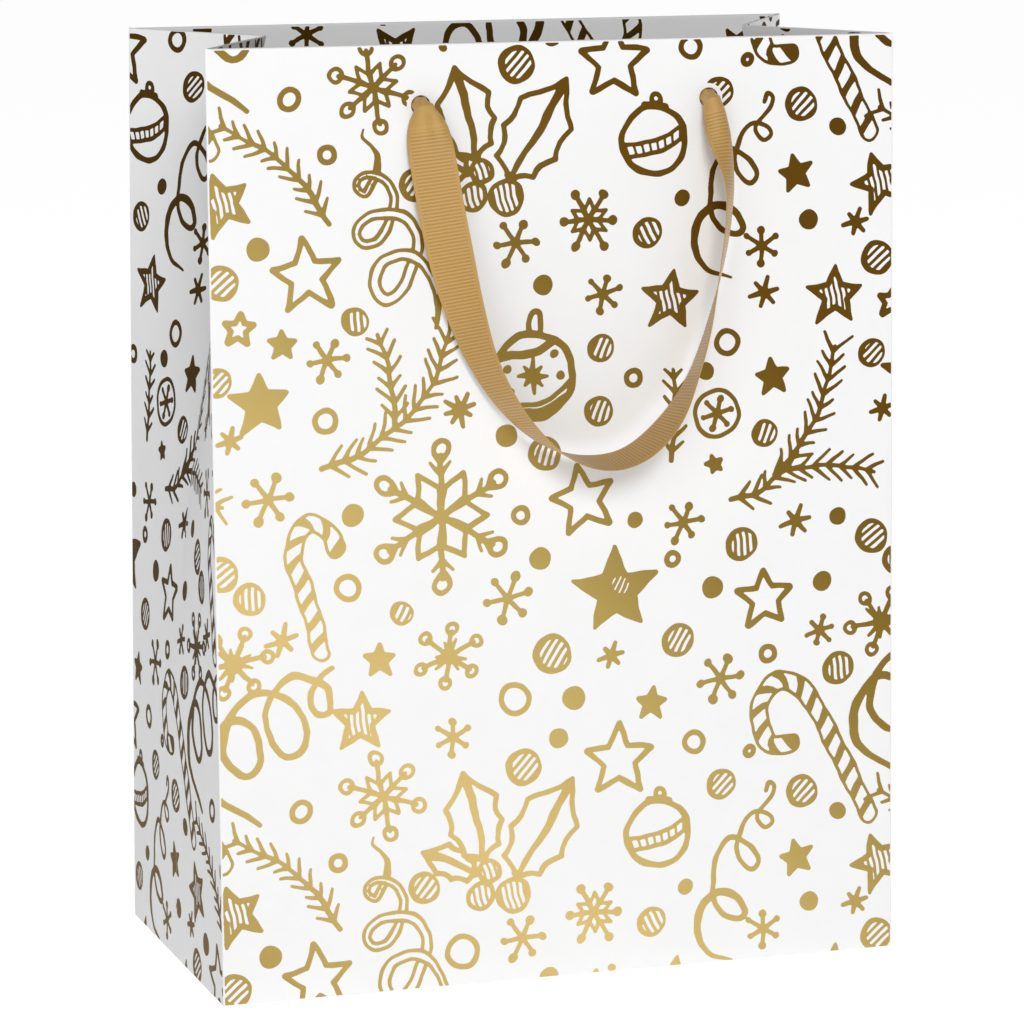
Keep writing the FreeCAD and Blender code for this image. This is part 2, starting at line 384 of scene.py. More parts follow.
def foil_material(name, axis_x, stops, roughness, metallic, edge):
    """Hot-stamped foil: its colour runs from light to dark along a slanting line, which paints the foil's
    reflection and shade into its colour.
    """
    material, tree, shader = new_material(
        name, Metallic=metallic, Specular_IOR_Level=0.1, Specular_Tint=linear(edge))
    place = surface_place(tree)
    split = node(tree, "ShaderNodeSeparateXYZ")
    link(tree, place, split.inputs[0])
    slant = node(tree, "ShaderNodeMath")
    slant.operation = "MULTIPLY_ADD"
    link(tree, split.outputs["X"], slant.inputs[0])
    slant.inputs[1].default_value = axis_x
    link(tree, split.outputs["Z"], slant.inputs[2])
    position = remap(tree, slant.outputs[0], FOIL_LOW * MM, FOIL_HIGH * MM, 0, 1)
    colour = ramp(tree, position, [
        ((q - FOIL_LOW) / (FOIL_HIGH - FOIL_LOW), linear(code)) for q, code in stops])
    colour = tinted(tree, colour, noise(tree, place, 60, 4), (0.95, 0.95, 0.94))
    link(tree, colour, shader.inputs["Base Color"])
    gloss = remap(tree, noise(tree, place, 700, 3), 0.3, 0.7, roughness - 0.05, roughness + 0.06)
    link(tree, gloss, shader.inputs["Roughness"])
    bump(tree, shader, noise(tree, place, 900, 4), 0.12, 0.00002)
    return material


def ribbon_material():
    """Grosgrain: painted shade in the grooves between the ribs, fine threads and a soft sheen."""
    material, tree, shader = new_material(
        "grosgrain", Roughness=0.55, Sheen_Weight=0.25, Sheen_Roughness=0.4, Specular_IOR_Level=0.35)
    # the rib values paint shade: dark in the grooves, light on the ribs
    rib = node(tree, "ShaderNodeAttribute")
    rib.attribute_name = "rib"
    colour = ramp(tree, rib.outputs["Fac"], [
        (0.0, linear("9a7842")), (0.45, linear("b99150")), (1.0, linear("caa262"))])
    thread = noise(tree, surface_place(tree), 2600, 3)
    link(tree, tinted(tree, colour, thread, (0.9, 0.89, 0.87)), shader.inputs["Base Color"])
    bump(tree, shader, thread, 0.35, 0.00006)
    return material


def board_material():
    """Grey recycled board with darker specks."""
    material, tree, shader = new_material("grey_card", Roughness=0.9)
    place = surface_place(tree)
    colour = ramp(tree, noise(tree, place, 650, 6, 0.7), [
        (0.36, linear("8f8a80")), (0.5, linear("b9b4a9")), (0.75, linear("c9c5bb"))])
    link(tree, colour, shader.inputs["Base Color"])
    bump(tree, shader, noise(tree, place, 900, 5), 0.4, 0.00008)
    return material


coated = paper_material(
    "coated_white", (0.87, 0.87, 0.87), (0.855, 0.855, 0.855), 0.42, 900, 0.00004, 0.35)
uncoated = paper_material(
    "uncoated_white", (0.86, 0.857, 0.85), (0.83, 0.827, 0.82), 0.85, 1300, 0.0001, 0.2)
PAPERS = [coated, uncoated]
# ends of the slanting line along which the foil changes colour, its painted reflection and shade
FOIL_LOW, FOIL_HIGH = -130.0, 450.0


# Wall foil: the run from light gold at the lower left to dark at the upper right is a painted reflection; the
# metallic shader adds a real one on top.
GOLD_PAINTED_REFLECTION = [
    (-100, "b99f5c"), (20, "e0c480"), (125, "c2a963"), (208, "967b38"), (313, "6c4e14"),
    (420, "634514")]
# Gusset and underside foil: a darker copy of the wall foil, darker still towards the top, is painted shade.
SIDE_GOLD_PAINTED_SHADE = [(10, "80683a"), (75, "644c1a"), (125, "563e10"), (170, "4e370e"), (300, "4e370e")]
# Hem foil inside the top: a darker copy of the foil, darker towards the top, is painted shade.
HEM_GOLD_PAINTED_SHADE = [(270, "5c4416"), (330, "4b350c")]
front_foil_painted_reflection = foil_material("gold_foil_front_painted_reflection", 1.04, GOLD_PAINTED_REFLECTION, 0.42, 0.55, "c8a050")
back_foil_painted_reflection = foil_material("gold_foil_back_painted_reflection", -1.04, GOLD_PAINTED_REFLECTION, 0.42, 0.55, "c8a050")
side_foil_painted_shade = foil_material("gold_foil_side_painted_shade", 0.0, SIDE_GOLD_PAINTED_SHADE, 0.55, 0.15, "604818")
hem_foil_painted_shade = foil_material("gold_foil_hem_painted_shade", 0.0, HEM_GOLD_PAINTED_SHADE, 0.45, 0.3, "80602a")
ribbon_look = ribbon_material()
board_look = board_material()


# ---------------------------------------------------------------- the printed drawings

TILE_W, TILE_H, STEP = 240.0, 245.7, 0.3
COLS, ROWS = round(TILE_W / STEP), round(TILE_H / STEP)
tile = np.full((ROWS, COLS), FAR)


def draw(x, y, reach, shape, wipe=None):
    """Adds a drawing centred at x, y to the repeating tile. Its outline wanders a little.

    wipe is the part of the tile that is cleared first.
    """
    count = int((reach + 3) / STEP)
    i = np.arange(-count, count + 1)
    col, row = round(x / STEP), round(y / STEP)
    lx, ly = np.meshgrid((col + i) * STEP - x, (row + i) * STEP - y)
    a, b = x * 0.7 + y * 0.3, y * 0.9 - x * 0.2
    size = min(0.16 + 0.008 * reach, 0.3)
    wx = lx + size * np.sin(ly * 0.42 + a) + 0.3 * size * np.sin(ly * 1.1 - lx * 0.5 + b)
    wy = ly + size * np.sin(lx * 0.38 + b) + 0.3 * size * np.sin(lx * 0.9 + ly * 0.6 + a)
    value = shape(wx, wy)
    where = np.ix_((row + i) % ROWS, (col + i) % COLS)
    if wipe:
        tile[where] = np.maximum(tile[where], -wipe(wx, wy))
    tile[where] = np.minimum(tile[where], value)


def disc(x, y, cx, cy, radius):
    return np.hypot(x - cx, y - cy) - radius


def ringed(x, y, cx, cy, radius, line):
    return np.abs(disc(x, y, cx, cy, radius)) - line


def union(*fields):
    return np.minimum.reduce(fields)


def stroke(x, y, points, radii):
    """A line through the points that swells and thins."""
    best = np.full(x.shape, FAR)
    if np.isscalar(radii):
        radii = [radii] * len(points)
    for (ax, ay), (bx, by), ra, rb in zip(points, points[1:], radii, radii[1:]):
        dx, dy = bx - ax, by - ay
        h = np.clip(((x - ax) * dx + (y - ay) * dy) / (dx * dx + dy * dy + 1e-9), 0, 1)
        best = union(best, np.hypot(x - ax - h * dx, y - ay - h * dy) - (ra + (rb - ra) * h))
    return best


def polygon(x, y, corners):
    """Distance to a closed outline, negative inside."""
    closed = list(corners) + [corners[0]]
    away = stroke(x, y, closed, 0.0)
    flips = np.zeros(x.shape, bool)
    for (ax, ay), (bx, by) in zip(closed, closed[1:]):
        if ay != by:
            flips ^= ((ay > y) != (by > y)) & (x < (bx - ax) * (y - ay) / (by - ay) + ax)
    return np.where(flips, -away, away)


def stripes(x, y, angle, pitch, white):
    """Distance to a set of parallel bands."""
    across = x * math.cos(angle) + y * math.sin(angle)
    return np.abs((across % pitch) - pitch / 2) - white / 2


def smooth(points, times=3):
    """A rounder line through about the same points."""
    p = np.array(points, float)
    for _ in range(times):
        q, r = 0.75 * p[:-1] + 0.25 * p[1:], 0.25 * p[:-1] + 0.75 * p[1:]
        p = np.concatenate([p[:1], np.stack([q, r], 1).reshape(-1, 2), p[-1:]])
    return p


def through(points, per=5):
    """A smooth line through the points."""
    p = np.array(points, float)
    p = np.concatenate([2 * p[:1] - p[1:2], p, 2 * p[-1:] - p[-2:-1]])
    t = (np.arange(per) / per)[:, None]
    out = []
    for a, b, c, d in zip(p, p[1:], p[2:], p[3:]):
        square, cube = 2 * a - 5 * b + 4 * c - d, 3 * b - 3 * c + d - a
        out.append(0.5 * (2 * b + (c - a) * t + square * t ** 2 + cube * t ** 3))
    return np.concatenate(out + [p[-2:-1]])


def travelled(points):
    """The length of a line up to each of its points."""
    return np.concatenate([[0], np.cumsum(np.linalg.norm(np.diff(points, axis=0), axis=1))])


def centred(points, margin, per=5):
    """A smooth line about its own middle: the line, the middle, its reach and the length gone."""
    line = through(points, per)
    middle = line.mean(0)
    line = line - middle
    return line, middle, np.hypot(*line.T).max() + margin, travelled(line)


def spread(values, count):
    """A few values spread evenly over many points."""
    return np.interp(np.linspace(0, 1, count), np.linspace(0, 1, len(values)), values)


def star_corners(radius, hollow, turn, count=5):
    out = []
    for k in range(2 * count):
        a = turn + math.pi / 2 + k * math.pi / count
        r = radius * (hollow if k % 2 else 1.0 + 0.07 * math.sin(k * 2.3 + radius))
        out.append((r * math.cos(a), r * math.sin(a)))
    return out


def arms(count, turn, reach):
    """The tips of some arms round the middle. reach gives the length of each arm."""
    angles = [turn + k * 2 * math.pi / count for k in range(count)]
    return [(reach(k) * math.cos(a), reach(k) * math.sin(a)) for k, a in enumerate(angles)]


def spokes(u, v, tips, radii):
    return union(*(stroke(u, v, [(0, 0), tip], radii) for tip in tips))


def petals(u, v, turn, long, middle, wide, line):
    """Six outlined kites round the middle, each widest at its own middle share."""
    out = []
    for c, s in arms(6, turn, lambda k: 1.0):
        at = middle * long
        kite = [(0, 0), (at * c - wide * s, at * s + wide * c), (long * c, long * s),
                (at * c + wide * s, at * s - wide * c)]
        out.append(np.abs(polygon(u, v, kite)) - line)
    return out


def dot(x, y, r):
    draw(x, y, r, lambda u, v: disc(u, v, 0, 0, r))


def ring(x, y, r, w=1.0):
    draw(x, y, r, lambda u, v: ringed(u, v, 0, 0, r - w, w))


def ball(x, y, r, angle=-0.75):
    def shape(u, v):
        inner = np.maximum(disc(u, v, 0.1 * r, 0, r * 0.72), stripes(u, v, angle, 2.3, 1.15))
        return np.maximum(disc(u, v, 0, 0, r), -inner)
    draw(x, y, r, shape)


def star(x, y, r, look, turn=0.1, hollow=0.45):
    def shape(u, v):
        d = polygon(u, v, star_corners(r - 1.0, hollow, turn))
        if look == "open":
            return np.abs(d - 0.2) - 1.0
        if look == "solid":
            return d - 0.8
        if look == "glint":
            shine = np.maximum(disc(u, v, 1.5, 2.2, 3.2), stripes(u, v, -0.5, 1.7, 0.55))
            return np.maximum(d - 0.8, -shine)
        return np.maximum(d - 0.6, -np.maximum(d + 1.5, stripes(u, v, 0.15, 2.1, 1.15)))
    draw(x, y, r, shape)


def flake(x, y, r, turn=0.2):
    def shape(u, v):
        tips = arms(6, turn, lambda k: r * (0.80 + 0.06 * math.sin(3 * k + r)))
        blobs = [disc(u, v, *tip, 0.17 * r + 0.25 * math.sin(k * 1.9)) for k, tip in enumerate(tips)]
        return union(spokes(u, v, tips, [0.9, 0.75]), *blobs)
    draw(x, y, r, shape)


def asterisk(x, y, r, count=6):
    def shape(u, v):
        tips = arms(count, 0.25, lambda k: r * (0.85 + 0.13 * math.sin(2.4 * k)))
        return union(disc(u, v, 0, 0, 0.3 * r), spokes(u, v, tips, [1.1, 0.8]))
    draw(x, y, r, shape)


def ring_flake(x, y, r, look, turn=0.15):
    """A snowflake with six long arms round a small star."""
    def reach(k):
        return r * (0.80 + 0.08 * math.sin(2.1 * k + x))

    def shape(u, v):
        tips = arms(6, turn, reach)
        if look == "diamond":
            ends = [disc(u, v, *tip, 0.14 * r) for tip in tips]
        else:
            further = arms(6, turn, lambda k: reach(k) + 1)
            ends = [ringed(u, v, *tip, 0.13 * r + 0.3, 0.75) for tip in further]
        if look == "burst":
            rays = arms(9, 0.4, lambda k: r * (0.5 + 0.1 * math.sin(2.7 * k)))
            core = [disc(u, v, 0, 0, 0.26 * r), spokes(u, v, rays, [1.0, 0.5])]
        else:
            core = petals(u, v, turn + math.pi / 6, 0.58 * r, 0.5, 0.22 * 0.58 * r, 0.65)
        return union(spokes(u, v, tips, [0.9, 0.8]), *ends, *core)
    draw(x, y, r, shape)


def big_flake(x, y, r):
    def shape(u, v):
        parts = petals(u, v, math.pi / 2 + math.pi / 6, 0.62 * r, 0.45, 0.2 * r, 0.95)
        parts.append(spokes(u, v, arms(6, math.pi / 2, lambda k: 0.80 * r), [1.2, 1.0]))
        for c, s in arms(6, math.pi / 2, lambda k: 1.0):
            end = 0.80 * r + 2.2
            parts.append(ringed(u, v, end * c, end * s, 2.8, 0.95))
            for share, side, long in ((0.55, 1, 5.5), (0.55, -1, 5.5), (0.7, 1, 4.2), (0.7, -1, 4.2)):
                bx, by = share * r * c, share * r * s
                ex = bx + long * (0.75 * c - side * 0.66 * s)
                ey = by + long * (0.75 * s + side * 0.66 * c)
                parts.append(stroke(u, v, [(bx, by), (ex, ey)], [0.95, 0.6]))
        return union(*parts)
    draw(x, y, r, shape)


def circled_flake(x, y, r):
    flake(x, y, 0.75 * r)
    ring(x, y, r, 0.8)


def bauble(x, y, r):
    """A glass ball with a ladder band across it."""
    def shape(u, v):
        low = stroke(u, v, smooth([(-r, -0.42 * r), (0, -0.42 * r), (r, 0.12 * r)]), 0.75)
        high = stroke(u, v, smooth([(-r, -0.08 * r), (0, -0.10 * r), (r, 0.5 * r)]), 0.75)
        middle = v + 0.27 * r - np.interp(u, [-r, 0, r], [0.02 * r, 0.02 * r, 0.56 * r])
        rungs = np.maximum(stripes(u, v, 0.15, 2.9, 0.9), np.abs(middle) - 0.17 * r)
        return union(
            ringed(u, v, 0, 0, r - 1.1, 1.1), ringed(u, v, 0.1 * r, 1.12 * r, 0.13 * r, 0.9),
            stroke(u, v, [(-0.25 * r, 0.95 * r), (0.35 * r, 0.93 * r)], 1.2),
            np.maximum(union(low, high, rungs), disc(u, v, 0, 0, r - 1.0)))
    draw(x, y, 1.3 * r, shape)


def dotted_bauble(x, y, r):
    """A glass ball with a tall loop, curved bands, dots and a small burst."""
    loop = [(-1.0, r - 1), (-1.3, r + 3), (-0.6, r + 6), (1.0, r + 7),
            (2.6, r + 6), (3.2, r + 3), (3.0, r - 1)]
    bands = (
        (1.5, [(-0.95, 0.3), (-0.7, 0.5), (-0.1, 0.42), (0.6, 0.85)]),
        (0.9, [(-0.9, -0.62), (0, -0.66), (0.5, -0.45), (1, -0.02)]),
        (1.0, [(-0.8, -0.76), (0.1, -0.8), (0.6, -0.55), (1, -0.3)]))
    burst = arms(8, math.pi / 2, lambda k: r * (0.38, 0.27, 0.33, 0.29)[k % 4])
    dots = ((-0.57, 0.18), (0.47, 0.47), (0.64, -0.02), (-0.55, -0.34))

    def shape(u, v):
        across = union(*(stroke(u, v, smooth(np.array(line) * r), width) for width, line in bands))
        return union(
            ringed(u, v, -0.2, 0, r - 1.3, 1.3), stroke(u, v, smooth(loop), 1.0),
            np.maximum(across, disc(u, v, 0, 0, r - 1.2)), spokes(u, v, burst, [1.5, 0.6]),
            *(disc(u, v, dx * r, dy * r, 1.6) for dx, dy in dots))
    draw(x, y, r + 9, shape)


def twig(points, needle, lean=0.75):
    """A fir twig: a stem with a row of needles on each side."""
    line, middle, reach, gone = centred(points, needle)

    def shape(u, v):
        parts = [stroke(u, v, line, np.linspace(1.0, 0.65, len(line)))]
        for k, at in enumerate(np.arange(3.0, gone[-1], 5.2)):
            (px, qx), (py, qy) = (np.interp([at, at + 1], gone, line[:, i]) for i in (0, 1))
            head = math.atan2(qy - py, qx - px) if at + 1 < gone[-1] else 0.8
            long = needle * (0.85 + 0.15 * math.sin(2.2 * k))
            for a in (head - lean, head + lean):
                tip = (px + long * math.cos(a), py + long * math.sin(a))
                parts.append(stroke(u, v, [(px, py), tip], [0.8, 0.55]))
        return union(*parts)
    draw(*middle, reach, shape)


def line_art(points, radii):
    """A curling streamer drawn as one line."""
    line, middle, reach, _ = centred(points, 2)
    draw(*middle, reach, lambda u, v: stroke(u, v, line, spread(radii, len(line))))


def streamer(points, widths, line=0.65):
    """A curling paper streamer drawn by its two edges, each turn lying over the one before."""
    path, middle, reach, _ = centred(points, 4, 6)
    half = spread(widths, len(path)) / 2
    overlap, run = 0.5, 4
    for first in range(0, len(path) - 1, run):
        part, wide = path[first:first + run + 1], half[first:first + run + 1]

        def body(u, v):
            best, ends = np.full(u.shape, FAR), []
            for (ax, ay), (bx, by), ra, rb in zip(part, part[1:], wide, wide[1:]):
                long = math.hypot(bx - ax, by - ay)
                dx, dy = (bx - ax) / long, (by - ay) / long
                along = (u - ax) * dx + (v - ay) * dy
                ends.append((along, long))
                h = np.clip(along, 0, long)
                away = np.hypot(u - ax - h * dx, v - ay - h * dy)
                best = union(best, away - (ra + (rb - ra) * h / long))
            outside = (ends[0][0] < -overlap) | (ends[-1][0] > ends[-1][1] + overlap)
            return np.where(outside, FAR, best)

        def edges(u, v):
            near = body(u, v)
            return np.where(near < FAR - 10, np.abs(near + line) - line, FAR)
        draw(*middle, reach, edges, body)


def cane(points, width):
    """A candy cane: two outlines and slanting bands between them."""
    line, middle, reach, gone = centred(points, width)

    def shape(u, v):
        away, along = np.full(u.shape, FAR), np.zeros(u.shape)
        for (ax, ay), (bx, by), start, end in zip(line, line[1:], gone, gone[1:]):
            long = end - start
            dx, dy = (bx - ax) / long, (by - ay) / long
            h = np.clip((u - ax) * dx + (v - ay) * dy, 0, long)
            gap = np.hypot(u - ax - h * dx, v - ay - h * dy)
            aside = (v - ay) * dx - (u - ax) * dy
            near = gap < away
            away = np.where(near, gap, away)
            along = np.where(near, start + h + 0.7 * aside, along)
        holes = np.maximum(away - (width / 2 - 1.1), np.abs(along % 7.4 - 3.7) - 2.1)
        return np.maximum(away - width / 2, -holes)
    draw(*middle, reach, shape)


def holly_leaf(base, tip, width):
    """A leaf's outline, hollow between its spikes, and its midrib."""
    base, tip = np.array(base, float), np.array(tip, float)
    along = tip - base
    out = np.array([-along[1], along[0]]) / math.hypot(*along)
    spikes = [(0.0, 0.12), (0.10, 0.62), (0.36, 0.95), (0.64, 0.9), (1.0, 0.0)]
    corners = []
    for sign in (1, -1):
        side = []
        for (a, wa), (b, wb) in zip(spikes, spikes[1:]):
            start = base + along * a + out * sign * wa * width
            end = base + along * b + out * sign * wb * width
            pull = (start + end) / 2 - out * sign * 0.26 * width * (0.5 if b == 1.0 else 1.0)
            for t in (0.0, 0.25, 0.5, 0.75):
                side.append((1 - t) ** 2 * start + 2 * t * (1 - t) * pull + t * t * end)
        side.append(tip)
        corners += side if sign > 0 else side[::-1][1:]
    rib = [base, base + along * 0.45 - out * 0.12 * width, tip - along * 0.1]
    return corners, smooth(rib)


def holly(x, y):
    """Holly leaves round a bunch of berries."""
    leaves = [holly_leaf(*leaf) for leaf in (
        ((-3, 4), (-10, 35), 10.5), ((9, -3), (30, 30), 12), ((-6, -1), (-25, 8), 6))]

    def shape(u, v):
        d = union(*(field for corners, rib in leaves for field in (
            np.abs(polygon(u, v, corners)) - 0.95, stroke(u, v, rib, np.linspace(0.9, 1.7, len(rib))))))
        for bx, by, r in ((-1, -1, 4.6), (-4, -9.5, 5.4), (8, -10, 6.6)):
            whole = disc(u, v, bx, by, r)
            bands = np.maximum(disc(u, v, bx, by, r - 1.6), stripes(u - bx, v - by, 0.25, 2.1, 1.2))
            d = np.where(whole < 0.0, np.maximum(whole, -bands), union(d, whole))
        return d
    draw(x, y, 40, shape)


# Every drawing of one repeat, with its place across and up the sheet, its size and its look
DRAWINGS = [
    (dot, [
        (104, 52, 3.2), (93, 19.3, 3.6), (45.5, 28.5, 2.9), (-108, 16, 4.1), (-6, 0.3, 3.6),
        (54, 213, 3.2), (-20, 194, 4), (-76, 169, 4), (27, 162, 2.9), (104, 159, 3.2), (-8, 150, 4),
        (56, 136, 4), (98, 136, 3.6), (4, 100, 4.3), (-2, 86, 3.6)]),
    (ring, [
        (-96, 66.5, 4.3), (-83, 47.5, 3.6), (27, 212, 3.6), (62, 223, 5), (-85, 202, 4.7),
        (-15, 166, 3.6), (-78, 144, 5), (41, 147, 3.2), (-18, 101, 6.1), (77, 111, 3.6),
        (49, 81, 4.5), (70, 76, 2.6), (-38, 12, 6.5)]),
    (ball, [
        (-15, 76.5, 6.7, -0.8), (59, 65, 5.6, -0.8), (90, 60, 6.1, -0.8), (-74, 236, 5, 0.0),
        (32.5, 17, 5.5, 0.5), (15, 223, 5, -0.4), (14, 201, 5.4, -0.4), (-6, 187, 6.1, -0.3),
        (76, 190, 5, -0.3), (67, 151, 6.1, 0.1), (117, 151, 6.3, -0.9), (-113, 142, 5.8, 0.0),
        (-59, 134, 4.3, -0.5), (-4, 116, 7.2, -0.6), (43, 118, 6.1, -0.5), (104, 104, 6.1, 0.15),
        (-52, 36, 5.8, -0.7), (119, 5, 6.2, -0.8), (117, 217, 5.2, -0.8)]),
    (star, [
        (20.5, 76.5, 14, "open", 0.0), (-91, 6.5, 13.6, "open", 0.1),
        (-115, 235, 6.5, "open", -0.1), (8, 170, 13.3, "open", 0.2), (76, 131, 11.8, "open", 0.05),
        (120, 32, 12.2, "hatched", 0.35), (41, 239, 12, "hatched", -0.1),
        (103, 238, 12, "hatched", 0.0), (-74, 97, 12.2, "hatched", -0.05),
        (88, 36, 7.4, "solid", 0.2), (-100, 229, 6, "solid", 0.0), (-108, 209, 12, "solid", 0.05),
        (79, 210, 7.4, "solid", 0.1), (57, 180, 4, "solid", 0.3), (20, 137, 16.4, "glint", 0.05),
        (-67, 118, 6.7, "solid", 0.0), (33, 96, 6.7, "solid", -0.1)]),
    (flake, [
        (-16, 15, 9, 0.05), (16, 242, 7.4, 0.3), (75, 11, 7.4, 0.5), (-84, 223, 8.2, 0.1),
        (-106, 176, 9.8, 0.1), (45, 160, 8, 0.1), (-20, 137, 9.8, 0.2), (97, 118, 6, 0.3),
        (59, 103, 9.6, 0.15), (-41, 89, 7.4, 0.5)]),
    (asterisk, [
        (111, 18, 5.2), (76, 240, 6), (-37, 204, 6.3, 8), (121, 197, 4.9), (88, 158, 6.2),
        (-102, 127, 6.3), (18, 114, 5)]),
    (ring_flake, [
        (-66.5, 70, 15, "ringed", -0.33), (11, 22, 12.4, "diamond", 0.0), (121, 120, 12.8, "burst"),
        (-42, 118, 11.8, "burst", 0.4)]),
    (big_flake, [(-44, 167, 27)]),
    (circled_flake, [(58, 198, 9)]),
    (bauble, [(35, 49, 12.8)]),
    (dotted_bauble, [(-10, 214.3, 16)]),
    (holly, [(-27, 41)]),
    (twig, [
        ([(-83, 24), (-91, 37), (-101, 47), (-120, 58)], 7.5),
        ([(-87, 186), (-75, 189), (-64, 196), (-55, 203), (-46, 214), (-40, 233)],
         9.5),
        ([(-60, 199), (-61, 210), (-63, 222), (-66, 231)], 8.0),
        ([(63, 167), (73, 169), (80, 174), (88, 177), (106, 177), (118, 174)],
         8.5),
        ([(80, 175), (90, 186), (97, 198), (103, 220)], 8.5),
        ([(41, 182), (42, 196), (42, 214)], 6.5)]),
    (cane, [
        ([(86, 78), (78, 78), (74, 86), (75, 95), (81, 101), (88, 99), (95, 91), (106, 70),
          (116, 50)],
         7.4),
        ([(-82, 158), (-85, 164), (-91, 167), (-96, 163), (-97, 154), (-94, 145), (-91, 135),
          (-88, 122)],
         7.0)]),
    (streamer, [
        ([(-70, 55.5), (-70, 52.5), (-67, 49.5), (-65.5, 46.5), (-65.5, 41), (-66.5, 38),
          (-70, 33.5), (-72.5, 36), (-71.5, 39), (-67, 40), (-62.5, 38.5), (-60, 34.5), (-60, 28.5),
          (-62, 22), (-66.5, 17), (-71, 16.5), (-73, 20.5), (-69.5, 25), (-62.5, 27), (-56, 25.5),
          (-52, 20.5), (-51.5, 14), (-53.5, 7.5), (-57.5, 0.5), (-63, -2.5), (-67, 2), (-64, 10),
          (-58.5, 12.5), (-53, 11.5), (-48, 7.5), (-44.5, -2), (-44, -8), (-45.5, -13)],
         [0.8, 1.6, 3.0, 3.2, 3.0, 3.4, 3.8, 3.6, 3.6, 4.2, 4.2, 4.6, 5.0, 4.6, 4.4, 3.0, 1.2])]),
    (line_art, [
        ([(76, 61), (77.5, 64), (79.3, 62.5), (78, 58.5), (73.5, 53.5), (74, 49.5), (76.5, 47.6),
          (79, 49.8), (77, 52.8), (71, 53.8), (66.5, 47.5), (65, 41), (68, 35), (71.5, 33.3),
          (73.7, 36.5), (70, 42), (62, 45), (57.3, 38), (55.8, 27), (59, 18), (64.4, 15.2),
          (68, 17.5), (65.5, 23), (58, 25.6), (52.5, 22), (49.6, 14.7), (51.7, 7.5), (56, 2.5),
          (63.3, 0)],
         [0.8, 0.8, 0.75, 0.75, 0.8, 0.9, 0.9, 1.0, 0.95, 1.2, 1.5, 1.3, 0.5]),
        ([(-84, 116), (-88, 114), (-92, 108), (-90, 101), (-85, 101), (-86, 109), (-92, 113),
          (-99, 114), (-106, 108), (-108, 97), (-101, 86), (-94, 90), (-96, 102), (-106, 109),
          (-114, 108), (-122, 99), (-123, 88), (-116, 80), (-110, 86), (-113, 97), (-121, 100),
          (-128, 92), (-130, 80), (-125, 73), (-111, 63)],
         [0.9, 1.1, 1.1, 1.4, 1.0, 1.2, 1.1, 1.5, 1.1, 1.4, 1.8, 0.9])]),
]
for drawing, places in DRAWINGS:
    for place in places:
        drawing(*place)


def sample(x, y):
    """The drawings' distance field at any place on the sheet."""
    (a, i), (b, j) = (np.modf((value / STEP) % count) for value, count in ((x, COLS), (y, ROWS)))
    i, j = i.astype(int) % COLS, j.astype(int) % ROWS
    k, m = (i + 1) % COLS, (j + 1) % ROWS
    return ((tile[j, i] * (1 - a) + tile[j, k] * a) * (1 - b)
            + (tile[m, i] * (1 - a) + tile[m, k] * a) * b)


# For each pattern of corners inside the drawing, the sides that its outline enters and leaves by
CELL_LINES = {
    1: ((0, 3),), 2: ((1, 0),), 4: ((2, 1),), 8: ((3, 2),), 3: ((1, 3),), 6: ((2, 0),), 12: ((3, 1),),
    9: ((0, 2),), 7: ((2, 3),), 11: ((1, 2),), 13: ((0, 1),), 14: ((3, 0),), 5: ((0, 3), (2, 1)),
    10: ((1, 0), (3, 2)),
}


def contours(field):
    """Closed loops round the negative parts of a grid of values, in grid units."""
    inside = field < 0
    hj, hi = np.nonzero(inside[:, :-1] != inside[:, 1:])
    vj, vi = np.nonzero(inside[:-1] != inside[1:])
    ht = field[hj, hi] / (field[hj, hi] - field[hj, hi + 1])
    vt = field[vj, vi] / (field[vj, vi] - field[vj + 1, vi])
    points = np.concatenate([np.stack([hi + ht, hj], 1), np.stack([vi, vj + vt], 1)])
    across, upward = np.full(field.shape, -1), np.full(field.shape, -1)
    across[hj, hi] = np.arange(len(hj))
    upward[vj, vi] = len(hj) + np.arange(len(vj))
    code = (inside[:-1, :-1] * 1 + inside[:-1, 1:] * 2 + inside[1:, 1:] * 4 + inside[1:, :-1] * 8)
    after = np.full(len(points), -1)
    for value, lines in CELL_LINES.items():
        j, i = np.nonzero(code == value)
        sides = (across[j, i], upward[j, i + 1], across[j + 1, i], upward[j, i])
        for start, end in lines:
            after[sides[start]] = sides[end]
    after = after.tolist()
    seen, loops = [False] * len(points), []
    for first in range(len(points)):
        if seen[first] or after[first] < 0:
            continue
        chain, at = [], first
        while not seen[at]:
            seen[at] = True
            chain.append(at)
            at = after[at]
        loops.append(points[chain])
    return loops


def thin_out(loop, tolerance):
    """Drops the points of a closed loop that lie within the tolerance of a straight run."""
    count = len(loop)
    far = int(np.argmax(np.hypot(*(loop - loop[0]).T)))
    keep = {0, far}
    closed = np.concatenate([loop, loop[:1]])
    stack = [(0, far), (far, count)]
    while stack:
        a, b = stack.pop()
        if b - a < 2:
            continue
        line = closed[b] - closed[a]
        inner = closed[a + 1:b] - closed[a]
        long = math.hypot(*line)
        if long < 1e-9:
            gap = np.hypot(*inner.T)
        else:
            gap = np.abs(inner[:, 0] * line[1] - inner[:, 1] * line[0]) / long
        worst = int(np.argmax(gap))
        if gap[worst] > tolerance:
            keep.add(a + 1 + worst)
            stack += [(a, a + 1 + worst), (a + 1 + worst, b)]
    return loop[sorted(keep)]


def loop_area(loop):
    """Positive for an outline, negative for a hole."""
    x, y = loop.T
    return 0.5 * float(np.sum(x * np.roll(y, -1) - np.roll(x, -1) * y))


CELL = 0.4                    # grid on which the drawings are traced
TRACE = 0.045                 # how far a traced outline may stray


def same(v):
    return v


